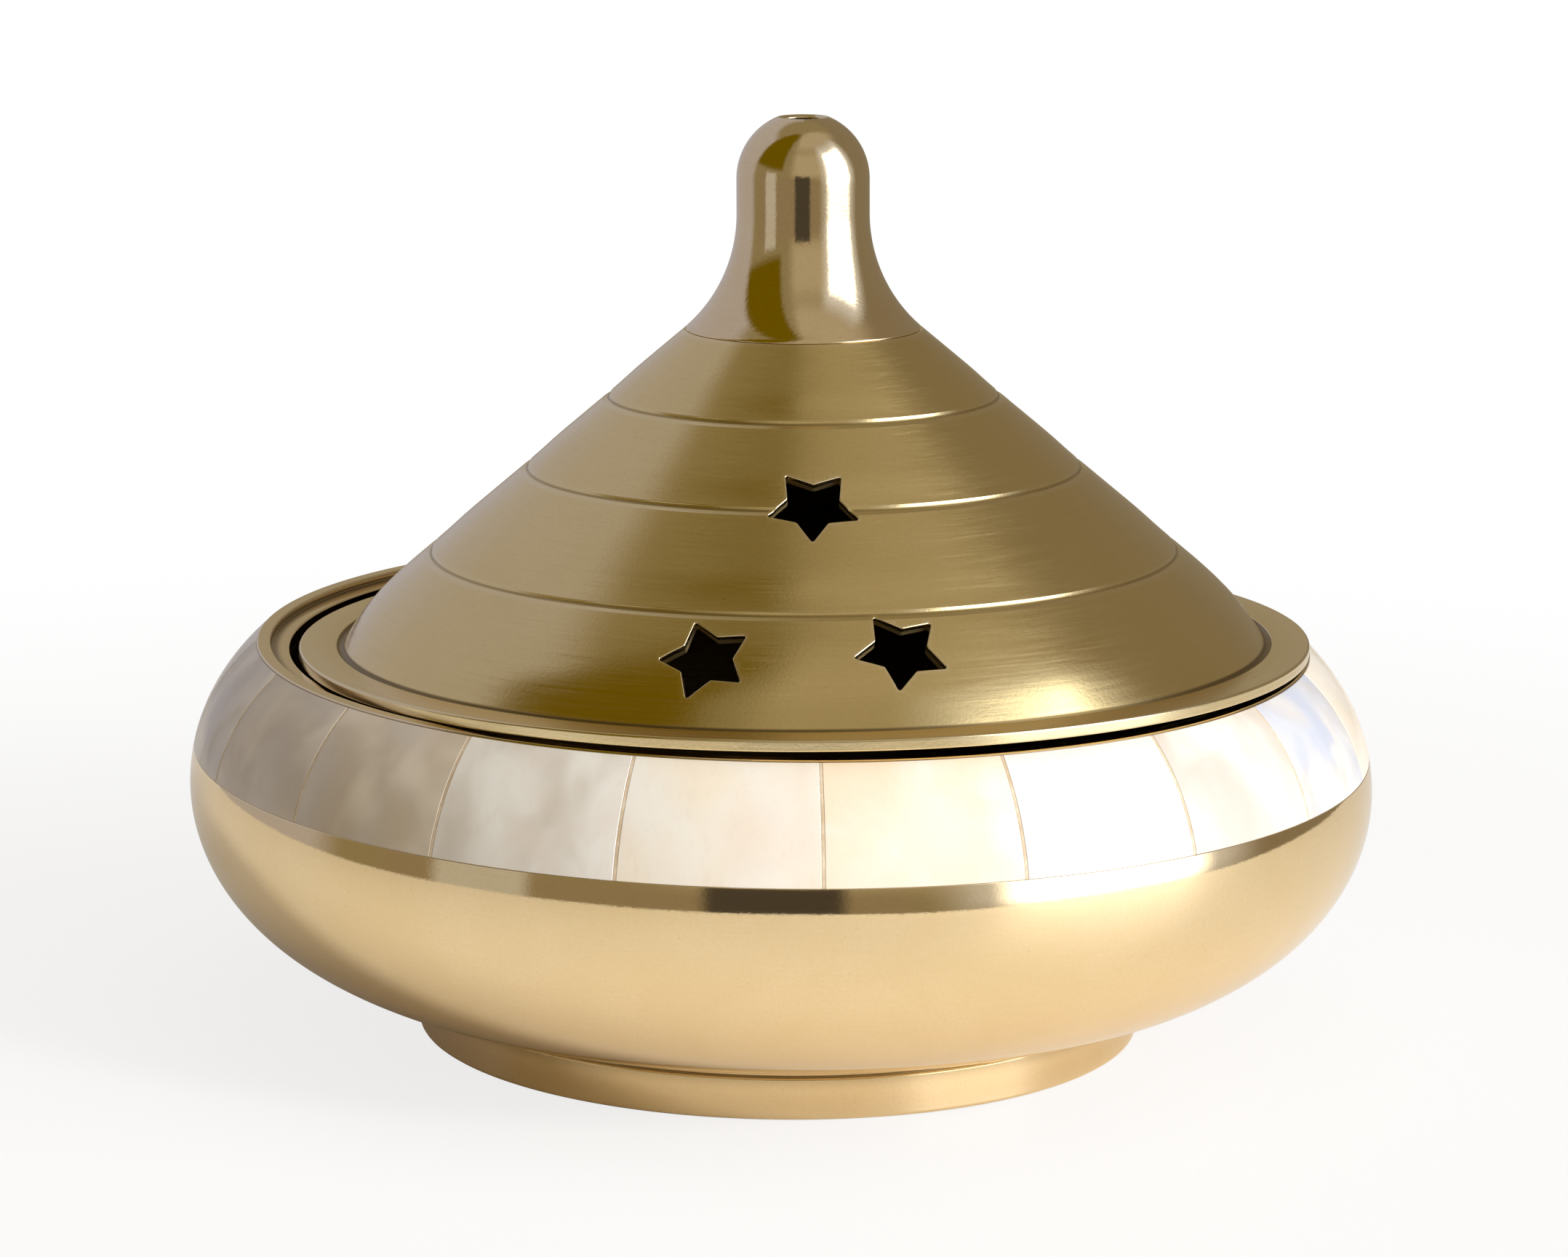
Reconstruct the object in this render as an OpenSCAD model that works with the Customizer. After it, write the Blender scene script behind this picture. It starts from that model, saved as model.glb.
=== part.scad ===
// Lidded brass incense burner with a mother-of-pearl band.
// Millimetres, +Z up. The origin is the centre of the foot, on the table.

/* [Bowl] */
// Diameter at the widest line
bowl_d = 102.2; // [98:0.2:108]
// Height of the widest line above the table
waist_h = 21.7; // [21:0.1:23]
// Half height of the bulge above the widest line
bulge_up = 17.6; // [17.2:0.1:18.4]
// Half height of the bulge below the widest line
bulge_down = 17; // [16:0.1:17.4]
// Radius of the flat round bottom
floor_r = 30; // [29.5:0.1:30.5]
// Thickness of the bowl wall
wall = 2.6; // [2.2:0.1:3]

/* [Foot] */
// Outer radius of the foot where it meets the table
foot_r = 31.3; // [30.5:0.1:32.5]
// Width of the foot's wall
foot_wall = 2.4; // [1.8:0.1:4]
// Radius of the bead at the top of the foot
bead_r = 0.35; // [0.2:0.05:0.6]

/* [Mouth] */
// Height of the lip above the table
mouth_h = 33.9; // [33.5:0.1:34.3]
// Radius of the recess that takes the lid
seat_r = 44.15; // [43.9:0.05:44.3]
// Depth of the recess
seat_depth = 0.65; // [0.4:0.05:0.8]
// Radius of the opening inside the ledge
opening_r = 42.5; // [41:0.1:42.8]

/* [Pearl band] */
// Number of pearl tiles round the bowl
tile_count = 20; // [20]
// Height of the lower edge of the band
band_h = 25.12; // [24:0.1:27]
// Thickness of a tile
tile_t = 1.2; // [0.9:0.05:1.3]
// Thickness of the cement behind the tiles
bed_t = 0.3; // [0.2:0.05:0.4]
// Width of a cement joint, in degrees round the bowl
joint_w = 0.32; // [0.2:0.02:0.8]
// Direction of the first joint, in degrees from the front
joint_turn = 3.9; // [-9:0.1:9]
// How far the hand-cut joints stray, in degrees
joint_stray = 1.3; // [0:0.1:2]

/* [Lid] */
// Outer radius of the flange
flange_r = 43.3; // [43:0.05:43.6]
// Thickness of the flange
flange_t = 0.95; // [0.8:0.05:1.3]
// Height of the cone above the underside of the flange
crown_h = 27.7; // [26:0.1:30]
// Slope of the cone, in degrees from vertical
cone_slope = 49.2; // [48.6:0.1:49.6]
// Horizontal thickness of the cone wall
cone_wall = 1.5; // [1.1:0.1:2]
// Heights of the turned grooves above the underside of the flange
groove_h = [8.75, 15.9, 21.95];
// Width of a turned groove
groove_w = 0.5; // [0.3:0.05:0.8]
// Depth of a turned groove
groove_d = 0.22; // [0.1:0.02:0.4]

/* [Stars] */
// Number of star groups round the lid
group_count = 3; // [1:1:3]
// Distance from a star's centre to its points
star_r = 3.95; // [3:0.05:4.5]
// Inner radius of a star as a part of the outer one
star_waist = 0.56; // [0.4:0.02:0.6]
// Half the angle between the two lower stars of a group
star_spread = 12.9; // [11:0.1:20]
// Heights of the left, right and upper stars
star_h = [5.85, 6.35, 16.35];
// Lean of the left, right and upper stars, in degrees
star_lean = [-15, -11, -3];
// Turn of the upper star from the middle of its group, in degrees
star_turn = 1.9; // [-5:0.1:5]

/* [Finial] */
// Diameter of the knob
knob_d = 11.3; // [10:0.1:12]
// Radius of the flare under the knob
flare_r = 13; // [11:0.5:14]
// Height of the knob's straight part
knob_h = 2.95; // [1:0.05:8]
// Diameter of the smoke vent
vent_d = 3.6; // [2:0.1:5]
// Radius of the spigot that holds the finial in the lid
spigot_r = 5.5; // [4:0.1:6]

/* [Burner plate] */
// Radius of the plate
plate_r = 27; // [24:0.5:28]
// Height of the plate above the inside of the bowl
plate_h = 7; // [5:0.5:9]
// Thickness of the sheet
plate_t = 0.9; // [0.7:0.1:1.4]
// Number of air holes in the plate
air_holes = 12; // [6:1:16]
// Radius of the cup at its mouth
cup_r = 8.5; // [7:0.5:10]
// Height of the cup
cup_h = 6.5; // [5:0.5:8]

/* [Lid position] */
// How far the lid sits off centre to the right
lid_right = 1.8; // [1:0.1:2]
// How far the lid sits off centre to the front
lid_front = 2.65; // [1.5:0.05:2.8]

/* [Hidden] */
$fn = 96;
eps = 0.01;
arc_step = 4;

function tile_name(i) = str("pearl_tile_", i < 9 ? "0" : "", i + 1);

// Bowl outline: a half ellipse that bulges out beyond floor_r.
bulge_out = bowl_d / 2 - floor_r;
bottom_h = waist_h - bulge_down;
inlay_t = tile_t + bed_t;
lip_drop = 0.15;
lip_break = 0.18;
t_band = asin((band_h - waist_h) / bulge_up);
t_lip = asin((mouth_h - lip_drop - waist_h) / bulge_up);
seat_h = mouth_h - seat_depth;

// Lid outline, measured from the underside of the flange.
cone_run = tan(cone_slope);
knob_r = knob_d / 2;
crown_r = knob_r + flare_r * (1 - cos(cone_slope));
knee_h = 7.45;
knee_drop = 0.0402;
flare_top = crown_h + flare_r * sin(cone_slope);
dome_h = flare_top + knob_h;
cap_t = 1.5;
crown_break = 0.2;
flange_break = 0.12;
root_r = 0.3;

// Resting place of the lid: pushed off centre it rides up on the lip at one
// side and dips into the opening at the other.
lid_off = norm([lid_right, lid_front]);
lip_cross = (seat_r * seat_r - flange_r * flange_r + lid_off * lid_off) / (2 * lid_off);
ledge_cross = (opening_r * opening_r - flange_r * flange_r + lid_off * lid_off) / (2 * lid_off);
lid_tilt = atan(seat_depth / (lip_cross - ledge_cross));
lid_gap = 0.04;
lid_h = seat_h + (lid_off - ledge_cross) * tan(lid_tilt) + lid_gap;

plate_z = bottom_h + wall + 0.02;
plate_top = plate_z + plate_h;
rivet_r = 1.5;

brass = [0.80, 0.66, 0.38];
polished = [0.86, 0.72, 0.44];
pearl = [0.90, 0.87, 0.80];
cement = [0.76, 0.62, 0.44];

// Point on the bowl outline at angle t from the widest line (-90 is the
// bottom), moved into the wall by inset.
function half_height(t) = t < 0 ? bulge_down : bulge_up;
function slant(t) = [cos(t) / bulge_out, sin(t) / half_height(t)];
function bulge(t, inset = 0) =
    [floor_r + bulge_out * cos(t), waist_h + half_height(t) * sin(t)]
    - inset * slant(t) / norm(slant(t));

// Points along the outline from t0 to t1, both ends included.
function bulge_arc(t0, t1, inset = 0) =
    let (n = ceil(abs(t1 - t0) / arc_step))
    [for (i = [0 : n]) bulge(t0 + (t1 - t0) * i / n, inset)];

// Radius of the cone's outside at height z, drooping to the flange below the knee.
function cone_r(z) =
    crown_r + cone_run * (crown_h - z) - knee_drop * pow(max(0, knee_h - z), 2);

// The three points of a V groove round the cone at height z, going up.
function groove(z) = [
    [cone_r(z - groove_w / 2), z - groove_w / 2],
    [cone_r(z) - groove_d, z],
    [cone_r(z + groove_w / 2), z + groove_w / 2]
];

// Direction of the joint at the start of tile i.
function joint_at(i) = joint_turn + i * 360 / tile_count + joint_stray * sin(i * 36);

module foot_ring() {
    foot_top = bottom_h;
    base_break = 0.3;
    bead_drop = 0.65;
    taper = 0.25;
    color(brass)
    rotate_extrude()
    polygon(concat(
        [
            [foot_r - foot_wall, base_break],
            [foot_r - foot_wall + base_break, 0],
            [foot_r - base_break, 0],
            [foot_r, base_break]
        ],
        [
            for (a = [-80 : 20 : 80])
                [foot_r - taper + bead_r * cos(a), foot_top - bead_drop + bead_r * sin(a)]
        ],
        [
            [foot_r - taper, foot_top],
            [foot_r - foot_wall, foot_top]
        ]
    ));
}

module bowl_shell() {
    color(polished)
    rotate_extrude()
    polygon(concat(
        [[0, bottom_h]],
        bulge_arc(-90, t_band),
        bulge_arc(t_band, t_lip, inlay_t),
        bulge_arc(t_lip, -90, wall),
        [[0, bottom_h + wall]]
    ));
}

module rim_ring() {
    top = bulge(t_lip);
    under = bulge(t_lip, wall);
    color(polished)
    rotate_extrude()
    polygon([
        [opening_r, under[1]],
        [opening_r, seat_h - lip_break],
        [opening_r + lip_break, seat_h],
        [seat_r, seat_h],
        [seat_r, mouth_h - lip_break],
        [seat_r + lip_break, mouth_h],
        [top[0] - lip_break, mouth_h],
        top,
        bulge(t_lip, inlay_t),
        under
    ]);
}

// Section through the band between two depths below the surface.
module band_section(from, to) {
    polygon(concat(
        bulge_arc(t_band, t_lip, from),
        bulge_arc(t_lip, t_band, to)
    ));
}

module inlay_cement() {
    fin_recess = 0.03;
    color(cement)
    union() {
        rotate_extrude() band_section(tile_t, inlay_t);
        for (i = [0 : tile_count - 1])
            rotate(joint_at(i) - 90 - joint_w / 2)
            rotate_extrude(angle = joint_w)
            band_section(fin_recess, tile_t + bed_t / 2);
    }
}

module pearl_tile(i) {
    from = joint_at(i) + joint_w / 2;
    to = joint_at(i + 1) - joint_w / 2;
    color(pearl)
    rotate(from - 90)
    rotate_extrude(angle = to - from)
    band_section(0, tile_t);
}

module burner_plate() {
    flare = 1.2;
    bend = 1;
    air_r = 2;
    color(brass)
    difference() {
        rotate_extrude()
        polygon([
            [0, plate_top],
            [plate_r - bend, plate_top],
            [plate_r, plate_top - bend],
            [plate_r, plate_z + bend],
            [plate_r + flare, plate_z],
            [plate_r + flare - plate_t, plate_z],
            [plate_r - plate_t, plate_z + bend],
            [plate_r - plate_t, plate_top - bend - plate_t / 2],
            [plate_r - bend - plate_t / 2, plate_top - plate_t],
            [0, plate_top - plate_t]
        ]);
        translate([0, 0, plate_top - plate_t - eps])
        cylinder(r = rivet_r, h = plate_t + 2 * eps);
        for (i = [0 : air_holes - 1])
            rotate(i * 360 / air_holes)
            translate([(cup_r + plate_r) / 2, 0, plate_top - plate_t - eps])
            cylinder(r = air_r, h = plate_t + 2 * eps);
    }
}

module cone_cup() {
    base_r = cup_r - 2;
    cup_wall = 0.9;
    head_r = 2.6;
    head_h = 0.6;
    roll = 0.25;
    color(brass)
    rotate_extrude()
    polygon([
        [0, plate_top - plate_t - head_h],
        [head_r - roll, plate_top - plate_t - head_h],
        [head_r, plate_top - plate_t],
        [rivet_r, plate_top - plate_t],
        [rivet_r, plate_top],
        [base_r, plate_top],
        [cup_r, plate_top + cup_h - roll],
        [cup_r - roll, plate_top + cup_h],
        [cup_r - cup_wall, plate_top + cup_h],
        [base_r - cup_wall, plate_top + cup_wall + roll],
        [base_r - cup_wall - roll, plate_top + cup_wall],
        [0, plate_top + cup_wall]
    ]);
}

// Puts a lid piece, drawn about the underside of the flange, where the lid rests.
module on_bowl() {
    translate([lid_right, -lid_front, lid_h])
    rotate(a = lid_tilt, v = [-lid_front, -lid_right, 0])
    children();
}

// A five-pointed star cut square through the cone at height z, lean degrees
// out of true.
module star_cut(z, lean) {
    cut_depth = 8;
    steep = atan((cone_r(z - 1) - cone_r(z + 1)) / 2);
    translate([0, -cone_r(z), z])
    rotate([90 - steep, 0, 0])
    rotate(lean - 90)
    translate([0, 0, -cut_depth / 2])
    linear_extrude(height = cut_depth)
    polygon([
        for (i = [0 : 9])
            let (r = i % 2 == 0 ? star_r : star_r * star_waist)
            r * [cos(i * 36), sin(i * 36)]
    ]);
}

module star_group() {
    turns = [-star_spread, star_spread, star_turn];
    for (i = [0 : 2])
        rotate(turns[i])
        star_cut(star_h[i], star_lean[i]);
}

module lid_shell() {
    skirt_top = 7.6;
    root_x = cone_r(flange_t) + root_r;
    under_cap = crown_h - cap_t;
    color(brass)
    on_bowl()
    difference() {
        rotate_extrude()
        polygon(concat(
            [
                [flange_r - flange_break, 0],
                [flange_r, flange_break],
                [flange_r, flange_t - flange_break],
                [flange_r - flange_break, flange_t]
            ],
            [for (a = [0 : -30 : -180]) [root_x + root_r * cos(a), flange_t + root_r * sin(a) * 0.8]],
            [for (z = [flange_t + 0.6 : 0.9 : skirt_top]) [cone_r(z), z]],
            [for (h = groove_h) each groove(h)],
            [
                [cone_r(crown_h - crown_break), crown_h - crown_break],
                [crown_r - crown_break, crown_h],
                [spigot_r, crown_h],
                [spigot_r, under_cap],
                [cone_r(under_cap) - cone_wall, under_cap]
            ],
            [for (z = [knee_h : -1 : 0]) [cone_r(z) - cone_wall, z]],
            [[cone_r(0) - cone_wall, 0]]
        ));
        for (g = [0 : group_count - 1])
            rotate(g * 360 / group_count)
            star_group();
    }
}

module finial() {
    vent_r = vent_d / 2;
    rim = 0.3;
    spigot_foot = 0.5;
    dome_end = acos((vent_r + rim) / knob_r);
    color(polished)
    on_bowl()
    rotate_extrude()
    polygon(concat(
        [
            [vent_r, crown_h - cap_t - spigot_foot],
            [spigot_r, crown_h - cap_t - spigot_foot],
            [spigot_r, crown_h],
            [crown_r - crown_break, crown_h]
        ],
        [
            for (a = [cone_slope - 1 : -4 : 1])
                [knob_r + flare_r * (1 - cos(a)), flare_top - flare_r * sin(a)]
        ],
        [[knob_r, flare_top]],
        [for (a = [0 : 5 : dome_end]) [knob_r * cos(a), dome_h + knob_r * sin(a)]],
        [
            [vent_r + rim, dome_h + knob_r * sin(dome_end)],
            [vent_r, dome_h + knob_r * sin(dome_end) - rim]
        ]
    ));
}

foot_ring();
bowl_shell();
rim_ring();
inlay_cement();
for (i = [0 : tile_count - 1])
    pearl_tile(i);
burner_plate();
cone_cup();
lid_shell();
finial();
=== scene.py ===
from math import acos, asin, atan, cos, degrees, hypot, pi, radians, sin, tan

import bpy
import numpy as np
from mathutils import Matrix, Vector
from mathutils.geometry import delaunay_2d_cdt


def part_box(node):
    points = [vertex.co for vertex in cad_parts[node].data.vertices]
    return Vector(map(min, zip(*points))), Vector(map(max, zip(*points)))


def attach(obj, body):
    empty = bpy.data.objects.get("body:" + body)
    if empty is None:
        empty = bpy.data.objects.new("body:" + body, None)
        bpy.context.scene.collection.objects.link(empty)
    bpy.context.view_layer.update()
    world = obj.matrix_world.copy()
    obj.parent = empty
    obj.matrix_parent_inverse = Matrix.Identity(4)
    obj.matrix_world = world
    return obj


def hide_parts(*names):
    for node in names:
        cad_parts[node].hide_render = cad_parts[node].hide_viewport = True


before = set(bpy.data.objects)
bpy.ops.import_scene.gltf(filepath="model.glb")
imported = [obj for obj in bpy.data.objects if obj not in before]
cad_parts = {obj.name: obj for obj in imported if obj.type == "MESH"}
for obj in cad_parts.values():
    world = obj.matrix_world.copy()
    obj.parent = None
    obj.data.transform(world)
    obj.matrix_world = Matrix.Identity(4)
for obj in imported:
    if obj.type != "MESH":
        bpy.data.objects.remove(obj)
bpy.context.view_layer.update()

MM = 0.001
COLS = 720


def size_mm(node):
    low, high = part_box(node)
    return (high - low) / MM, low / MM, high / MM


# ---------------------------------------------------------------- sizes
# Lengths are millimetres until a mesh is made. The big ones are read from
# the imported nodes, and the small ones repeat the CAD source.
bowl_size, bowl_low, _ = size_mm("bowl_shell")
BOWL_R = bowl_size[0] / 2
FLOOR_R = 30.0
BULGE_OUT = BOWL_R - FLOOR_R
BULGE_DOWN, BULGE_UP = 17.0, 17.6
BOTTOM_Z = bowl_low[2]
WAIST_Z = BOTTOM_Z + BULGE_DOWN
WALL = 2.6
MOUTH_Z = size_mm("rim_ring")[2][2]
BAND_Z = size_mm("pearl_tile_01")[1][2]
TILE_T, BED_T = 1.2, 0.3
INLAY_T = TILE_T + BED_T
TILES = 20
JOINT_W, JOINT_TURN, JOINT_STRAY = 0.32, 3.9, 1.3
SEAT_R, SEAT_DEPTH, OPENING_R = 44.15, 0.65, 42.5
SEAT_Z = MOUTH_Z - SEAT_DEPTH
T_BAND = degrees(asin((BAND_Z - WAIST_Z) / BULGE_UP))
T_LIP = degrees(asin((MOUTH_Z - 0.15 - WAIST_Z) / BULGE_UP))
FOOT_R = size_mm("foot_ring")[0][0] / 2
FOOT_WALL = 2.4
BAND_EDGE = 0.06

FLANGE_R, FLANGE_T = 43.3, 0.95
CROWN_Z, SLOPE, CONE_WALL = 27.7, radians(49.2), 1.5
GROOVES = (8.75, 15.9, 21.95)
GROOVE_W, GROOVE_D = 0.5, 0.22
KNOB_R, FLARE_R, KNOB_H = 5.65, 13.0, 2.95
VENT_R, SPIGOT_R = 1.8, 5.5
CROWN_R = KNOB_R + FLARE_R * (1 - cos(SLOPE))
KNEE_Z, KNEE_DROP = 7.45, 0.0402
FLARE_TOP = CROWN_Z + FLARE_R * sin(SLOPE)
DOME_Z = FLARE_TOP + KNOB_H
CAP_T = 1.5
ROOT_R = 0.3
STAR_CLEAR, AIR_CLEAR = 0.14, 0.2
STAR_R, STAR_WAIST, STAR_SPREAD = 3.95, 0.56, 12.9
STARS = ((-STAR_SPREAD, 5.85, -15), (STAR_SPREAD, 6.35, -11), (1.9, 16.35, -3))
GROUPS = 3

LID_RIGHT, LID_FRONT = 1.8, 2.65
LID_OFF = hypot(LID_RIGHT, LID_FRONT)


def crossing(radius):
    return (radius**2 - FLANGE_R**2 + LID_OFF**2) / (2 * LID_OFF)


LID_TILT = atan(SEAT_DEPTH / (crossing(SEAT_R) - crossing(OPENING_R)))
LID_Z = SEAT_Z + (LID_OFF - crossing(OPENING_R)) * tan(LID_TILT) + 0.04
LID_POSE = Matrix.Translation((LID_RIGHT, -LID_FRONT, LID_Z)) @ Matrix.Rotation(
    LID_TILT, 4, Vector((-LID_FRONT, -LID_RIGHT, 0)).normalized()
)

PLATE_R, PLATE_T, PLATE_H = 27.0, 0.9, 7.0
PLATE_Z = size_mm("burner_plate")[1][2]
PLATE_TOP = PLATE_Z + PLATE_H
AIR_HOLES, AIR_R = 12, 2.0
RIVET_R = 1.5
CUP_R, CUP_H = 8.5, 6.5


# ---------------------------------------------------------------- profiles
def unit(v):
    v = np.asarray(v, float)
    return v / max(np.linalg.norm(v), 1e-12)


def outline(corners, closed=True, steps=4):
    """Rows (x, y, normal x, normal y, shading mark) along corners (x, y, fillet,
    shading mark), walked with the outside on the right. A fillet of None is a point
    on a curve. A fillet given no mark gets +0.6 on an outer corner, rubbed brass with
    a painted highlight, and -0.6 on an inner one, tarnish with painted shade."""
    rows = []
    n = len(corners)
    for i, corner in enumerate(corners):
        x, y, fillet = corner[:3]
        wear = corner[3] if len(corner) > 3 else 0.0
        p = np.array((x, y), float)
        before = corners[i - 1] if (closed or i) else None
        after = corners[(i + 1) % n] if (closed or i < n - 1) else None
        d1 = unit(p - before[:2]) if before is not None else None
        d2 = unit(np.array(after[:2]) - p) if after is not None else None
        d1 = d2 if d1 is None else d1
        d2 = d1 if d2 is None else d2
        n1, n2 = np.array((d1[1], -d1[0])), np.array((d2[1], -d2[0]))
        turn = d1[0] * d2[1] - d1[1] * d2[0]
        angle = acos(max(-1.0, min(1.0, float(d1 @ d2))))
        if not fillet or angle < 1e-3:
            m = unit(n1 + n2)
            rows.append((x, y, m[0], m[1], wear))
            continue
        cut = fillet * tan(angle / 2)
        side = 1 if turn > 0 else -1
        centre = p - d1 * cut - side * n1 * fillet
        for k in range(steps + 1):
            m = unit(n1 * sin(angle * (1 - k / steps)) + n2 * sin(angle * k / steps))
            q = centre + side * m * fillet
            # a fillet with no mark: painted highlight on an outer corner, painted shade in an inner one
            rows.append((q[0], q[1], m[0], m[1], wear if wear else side * 0.6))
    return np.array(rows)


def bulge(t, inset=0.0):
    a = radians(t)
    half = BULGE_DOWN if t < 0 else BULGE_UP
    n = unit((cos(a) / BULGE_OUT, sin(a) / half))
    return np.array((FLOOR_R + BULGE_OUT * cos(a), WAIST_Z + half * sin(a))) - inset * n


def bulge_arc(t0, t1, inset=0.0, step=1.0):
    n = max(1, int(np.ceil(abs(t1 - t0) / step)))
    return [(*bulge(t0 + (t1 - t0) * i / n, inset), None) for i in range(n + 1)]


def turned_wave():
    """How far the lathe work strays from a true cone: each band between two
    grooves steepens a little towards its lower end."""
    edges = (FLANGE_T,) + GROOVES + (CROWN_Z,)
    z = np.arange(0, CROWN_Z + 1, 0.02)
    slope = np.zeros_like(z)
    for low, high in zip(edges[:-1], edges[1:]):
        inside = (z >= low) & (z <= high)
        x = (z[inside] - low) / (high - low)
        hump = np.exp(-(((x - 0.24) / 0.15) ** 2))
        slope[inside] = 0.1 * (hump - hump.mean())
    return z, np.cumsum(slope) * 0.02


WAVE_Z, WAVE_R = turned_wave()


def cone_r(z, wavy=True):
    r = CROWN_R + tan(SLOPE) * (CROWN_Z - z) - KNEE_DROP * np.maximum(0, KNEE_Z - z) ** 2
    return r + np.interp(z, WAVE_Z, WAVE_R) if wavy else r


def groove_cut(z):
    cut = np.zeros_like(np.asarray(z, float))
    for g in GROOVES:
        x = np.abs(z - g) / (GROOVE_W / 2)
        cut = np.maximum(cut, GROOVE_D * np.clip(1.15 - x, 0, 1) ** 0.9 * (x < 1.15))
    return cut


def outer_r(z):
    return cone_r(z) - groove_cut(z)


def inner_r(z):
    return cone_r(z, False) - CONE_WALL


# ---------------------------------------------------------------- meshes
# Each vertex carries a shading mark from -1, tarnish with painted shade in a corner,
# to 1, rubbed brass with a painted highlight on an edge. The lowest mark, well below
# -1, is the inside, painted near black for soot and for the shade in there, and it
# can have a material of its own.
SOOT_AND_SHADE = -2.0


class Skin:
    """Vertices with exact normals, collected piece by piece into one mesh."""

    def __init__(self):
        self.co, self.no, self.turned, self.wear, self.faces = [], [], [], [], []
        self.count = 0

    def add(self, co, no, turned, wear):
        first = self.count
        self.co.append(np.asarray(co, float).reshape(-1, 3))
        self.no.append(np.asarray(no, float).reshape(-1, 3))
        self.turned.append(np.asarray(turned, float).reshape(-1, 3))
        self.wear.append(np.broadcast_to(wear, (len(self.co[-1]),)))
        self.count += len(self.co[-1])
        return first

    def lathe(self, rows, closed=True, skip=None, cols=COLS):
        """Turns rows about Z. skip(row, col) leaves a face out. Returns the
        index of each row's first vertex."""
        phi = np.arange(cols) * 2 * pi / cols
        s, c = np.sin(phi), -np.cos(phi)
        steps = np.hypot(*np.diff(rows[:, :2], axis=0).T)
        run = np.concatenate([[0], np.cumsum(steps)])
        starts = []
        for (r, z, nr, nz, wear), along in zip(rows, run):
            if r < 1e-6:
                starts.append(self.add([(0, 0, z)], [(0, 0, nz)], [(0, 0, along)], wear))
                continue
            flat = np.ones(cols)
            starts.append(
                self.add(
                    np.stack([r * s, r * c, z * flat], 1),
                    np.stack([nr * s, nr * c, nz * flat], 1),
                    np.stack([s, c, along * flat], 1),
                    wear,
                )
            )
        n = len(rows)
        for i in range(n if closed else n - 1):
            j = (i + 1) % n
            a, b = starts[i], starts[j]
            if rows[i, 0] < 1e-6 and rows[j, 0] < 1e-6:
                continue
            for k in range(cols):
                m = (k + 1) % cols
                if skip is not None and skip(i, k):
                    continue
                if rows[i, 0] < 1e-6:
                    self.faces.append((a, b + m, b + k))
                elif rows[j, 0] < 1e-6:
                    self.faces.append((a + k, a + m, b))
                else:
                    self.faces.append((a + k, a + m, b + m, b + k))
        return starts

    def strip(self, loops, closed=True):
        """Joins loops, which are (first index, count) with equal counts."""
        for (a, n), (b, _) in zip(loops[:-1], loops[1:]):
            for k in range(n if closed else n - 1):
                m = (k + 1) % n
                self.faces.append((a + k, a + m, b + m, b + k))

    def piece(self, name, body, nodes, material, pose=None, extra=None, inside_material=None):
        co = np.concatenate(self.co)
        no = np.concatenate(self.no)
        if pose is not None:
            m = np.array(pose)
            co = co @ m[:3, :3].T + m[:3, 3]
            no = no @ m[:3, :3].T
        no /= np.maximum(np.linalg.norm(no, axis=1), 1e-9)[:, None]
        faces = facing(co, no, self.faces)
        mesh = bpy.data.meshes.new(name)
        mesh.from_pydata((co * MM).tolist(), [], faces)
        mesh.update()
        mesh.shade_smooth()
        for label, kind, field, data in (
            ("turned", "FLOAT_VECTOR", "vector", np.concatenate(self.turned)),
            ("wear", "FLOAT", "value", np.concatenate(self.wear)),
        ):
            layer = mesh.attributes.new(label, kind, "POINT")
            layer.data.foreach_set(field, np.ascontiguousarray(data, np.float32).ravel())
        for label, value in (extra or {}).items():
            layer = mesh.attributes.new(label, "FLOAT", "POINT")
            layer.data.foreach_set("value", np.full(len(co), value, np.float32))
        mesh.normals_split_custom_set_from_vertices(no.tolist())
        obj = bpy.data.objects.new(name, mesh)
        bpy.context.scene.collection.objects.link(obj)
        obj.data.materials.append(material)
        if inside_material is not None:
            obj.data.materials.append(inside_material)
            # faces marked as inside take the near-black material of soot and painted shade
            shading_marks = np.concatenate(self.wear)
            index = [int(all(shading_marks[v] < SOOT_AND_SHADE + 0.5 for v in f)) for f in faces]
            obj.data.polygons.foreach_set("material_index", index)
        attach(obj, body)
        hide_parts(*nodes)
        return obj


def facing(co, no, faces):
    """The faces, each turned so that it faces the way its normals do."""
    out = []
    tri = np.array([f[:3] for f in faces])
    last = np.array([f[-1] for f in faces])
    a = co[tri[:, 1]] - co[tri[:, 0]]
    b = co[last] - co[tri[:, 0]]
    mean = (no[tri[:, 0]] + no[tri[:, 1]] + no[tri[:, 2]] + no[last]) / 4
    wrong = (np.cross(a, b) * mean).sum(1) < 0
    for f, flip in zip(faces, wrong):
        out.append(tuple(reversed(f)) if flip else tuple(f))
    return out


# ---------------------------------------------------------------- stars
def inside(poly, q):
    """Which of the points q lie inside the closed polygon poly."""
    x, y = q[:, 0][:, None], q[:, 1][:, None]
    x0, y0 = poly[:, 0][None], poly[:, 1][None]
    x1, y1 = np.roll(poly[:, 0], -1)[None], np.roll(poly[:, 1], -1)[None]
    straddle = (y0 > y) != (y1 > y)
    cross_x = x0 + (y - y0) / np.where(y1 == y0, 1e-12, y1 - y0) * (x1 - x0)
    return (straddle & (x < cross_x)).sum(1) % 2 == 1


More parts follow.
